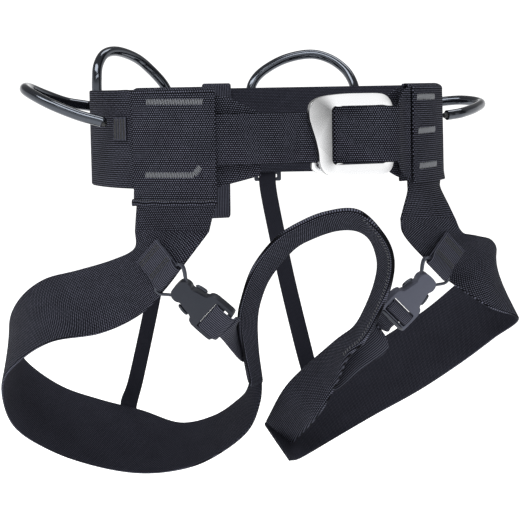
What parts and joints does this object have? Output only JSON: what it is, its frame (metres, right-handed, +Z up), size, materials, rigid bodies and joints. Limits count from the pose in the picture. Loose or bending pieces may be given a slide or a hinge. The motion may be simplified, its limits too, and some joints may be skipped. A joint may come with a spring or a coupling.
{
  "type": "climbing harness",
  "caption": "Webbing climbing harness with waist belt, two-plate waist buckle, leg loops joined by a crotch loop, quick clips, gear loops and a haul loop.",
  "frame": {"origin": "centre of the waist belt's ring, at half the belt's height, where the wearer's waist holds the harness", "axes": "+X towards the wearer's left, +Z up, the wearer faces -Y"},
  "size_m": [0.4243, 0.2729, 0.3663],
  "materials": {
    "webbing": "matt woven nylon",
    "strap_webbing": "matt ribbed nylon",
    "tape": "matt flat tape",
    "tube": "glossy extruded tube",
    "aluminium": "satin with polished edges",
    "clip_plastic": "satin moulded plastic",
    "ring_plastic": "satin moulded plastic"
  },
  "bodies": {
    "belt": {"waist_belt": "webbing", "right_hip_panel": "webbing", "left_hip_panel": "webbing", "waist_strap": "strap_webbing", "buckle_webbing": "webbing", "buckle_rear_plate": "aluminium", "haul_loop": "strap_webbing", "right_riser": "webbing", "left_riser": "webbing", "right_back_riser": "tape", "left_back_riser": "tape", "right_back_keeper": "ring_plastic", "left_back_keeper": "ring_plastic", "left_front_gear_tab_a": "strap_webbing", "left_front_gear_tab_b": "strap_webbing", "left_rear_gear_tab_a": "strap_webbing", "left_rear_gear_tab_b": "strap_webbing", "right_front_gear_tab_a": "strap_webbing", "right_front_gear_tab_b": "strap_webbing", "right_rear_gear_tab_a": "strap_webbing", "right_rear_gear_tab_b": "strap_webbing"},
    "buckle_plate": {"buckle_front_plate": "aluminium"},
    "right_front_loop": {"right_front_gear_loop": "tube"},
    "right_rear_loop": {"right_rear_gear_loop": "tube"},
    "left_front_loop": {"left_front_gear_loop": "tube"},
    "left_rear_loop": {"left_rear_gear_loop": "tube"},
    "leg_loops": {"right_leg_loop": "webbing", "left_leg_loop": "webbing", "crotch_loop": "webbing", "right_ring_tab": "strap_webbing", "left_ring_tab": "strap_webbing", "right_leg_strap": "strap_webbing", "left_leg_strap": "strap_webbing"},
    "right_clip": {"right_ring": "ring_plastic", "right_clip_body": "clip_plastic"},
    "right_arm_a": {"right_clip_arm_a": "clip_plastic"},
    "right_arm_b": {"right_clip_arm_b": "clip_plastic"},
    "left_clip": {"left_ring": "ring_plastic", "left_clip_body": "clip_plastic"},
    "left_arm_a": {"left_clip_arm_a": "clip_plastic"},
    "left_arm_b": {"left_clip_arm_b": "clip_plastic"}
  },
  "joints": [
    {"name": "buckle_front_plate_tilt", "type": "hinge", "parent": "belt", "child": "buckle_plate", "pos_m": [0.057, -0.1198, 0], "axis": [0, 0, 1], "range_deg": [0, 38]},
    {"name": "leg_loops_lift", "type": "hinge", "parent": "belt", "child": "leg_loops", "pos_m": [0, -0.08, -0.045], "axis": [1, 0, 0], "range_deg": [0, 12], "deforming": ["right_riser", "left_riser", "right_back_riser", "left_back_riser"]},
    {"name": "right_front_gear_loop_flex", "type": "hinge", "parent": "belt", "child": "right_front_loop", "pos_m": [-0.13688, 0.01131, 0.01875], "axis": [-0.1977, -0.9732, -0.1174], "range_deg": [-25, 25], "stiffness_Nm_per_rad": 0.12},
    {"name": "left_front_gear_loop_flex", "type": "hinge", "parent": "belt", "child": "left_front_loop", "pos_m": [0.14775, 0.00375, 0.0144], "axis": [-0.2009, 0.977, 0.0721], "range_deg": [-25, 25], "stiffness_Nm_per_rad": 0.12},
    {"name": "right_rear_gear_loop_flex", "type": "hinge", "parent": "belt", "child": "right_rear_loop", "pos_m": [-0.08059, 0.0872, 0.016], "axis": [-0.8884, -0.4585, 0.0223], "range_deg": [0, 35], "stiffness_Nm_per_rad": 0.12},
    {"name": "left_rear_gear_loop_flex", "type": "hinge", "parent": "belt", "child": "left_rear_loop", "pos_m": [0.0756, 0.0893, 0.0125], "axis": [-0.9044, 0.4265, 0.0107], "range_deg": [0, 35], "stiffness_Nm_per_rad": 0.12},
    {"name": "right_clip_swing", "type": "hinge", "parent": "leg_loops", "child": "right_clip", "pos_m": [-0.1135, -0.0827, -0.1036], "axis": [0.4341, -0.5791, 0.6901], "range_deg": [-20, 5], "stiffness_Nm_per_rad": 0.05, "deforming": ["right_leg_strap"]},
    {"name": "right_clip_arm_a_squeeze", "type": "hinge", "parent": "right_clip", "child": "right_arm_a", "pos_m": [-0.08663, -0.09897, -0.11546], "axis": [-0.5838, -0.7642, -0.2741], "range_deg": [0, 8], "stiffness_Nm_per_rad": 0.4},
    {"name": "right_clip_arm_b_squeeze", "type": "hinge", "parent": "right_clip", "child": "right_arm_b", "pos_m": [-0.09783, -0.08403, -0.13327], "axis": [0.5838, 0.7642, 0.2741], "range_deg": [0, 8], "stiffness_Nm_per_rad": 0.4},
    {"name": "left_clip_swing", "type": "hinge", "parent": "leg_loops", "child": "left_clip", "pos_m": [0.1128, -0.0939, -0.1087], "axis": [0.735, 0.193, -0.65], "range_deg": [-20, 5], "stiffness_Nm_per_rad": 0.05, "deforming": ["left_leg_strap"]},
    {"name": "left_clip_arm_a_squeeze", "type": "hinge", "parent": "left_clip", "child": "left_arm_a", "pos_m": [0.10126, -0.08493, -0.13893], "axis": [0.0002, -0.9587, -0.2844], "range_deg": [0, 8], "stiffness_Nm_per_rad": 0.4},
    {"name": "left_clip_arm_b_squeeze", "type": "hinge", "parent": "left_clip", "child": "left_arm_b", "pos_m": [0.0823, -0.08991, -0.12216], "axis": [-0.0002, 0.9587, 0.2844], "range_deg": [0, 8], "stiffness_Nm_per_rad": 0.4}
  ]
}
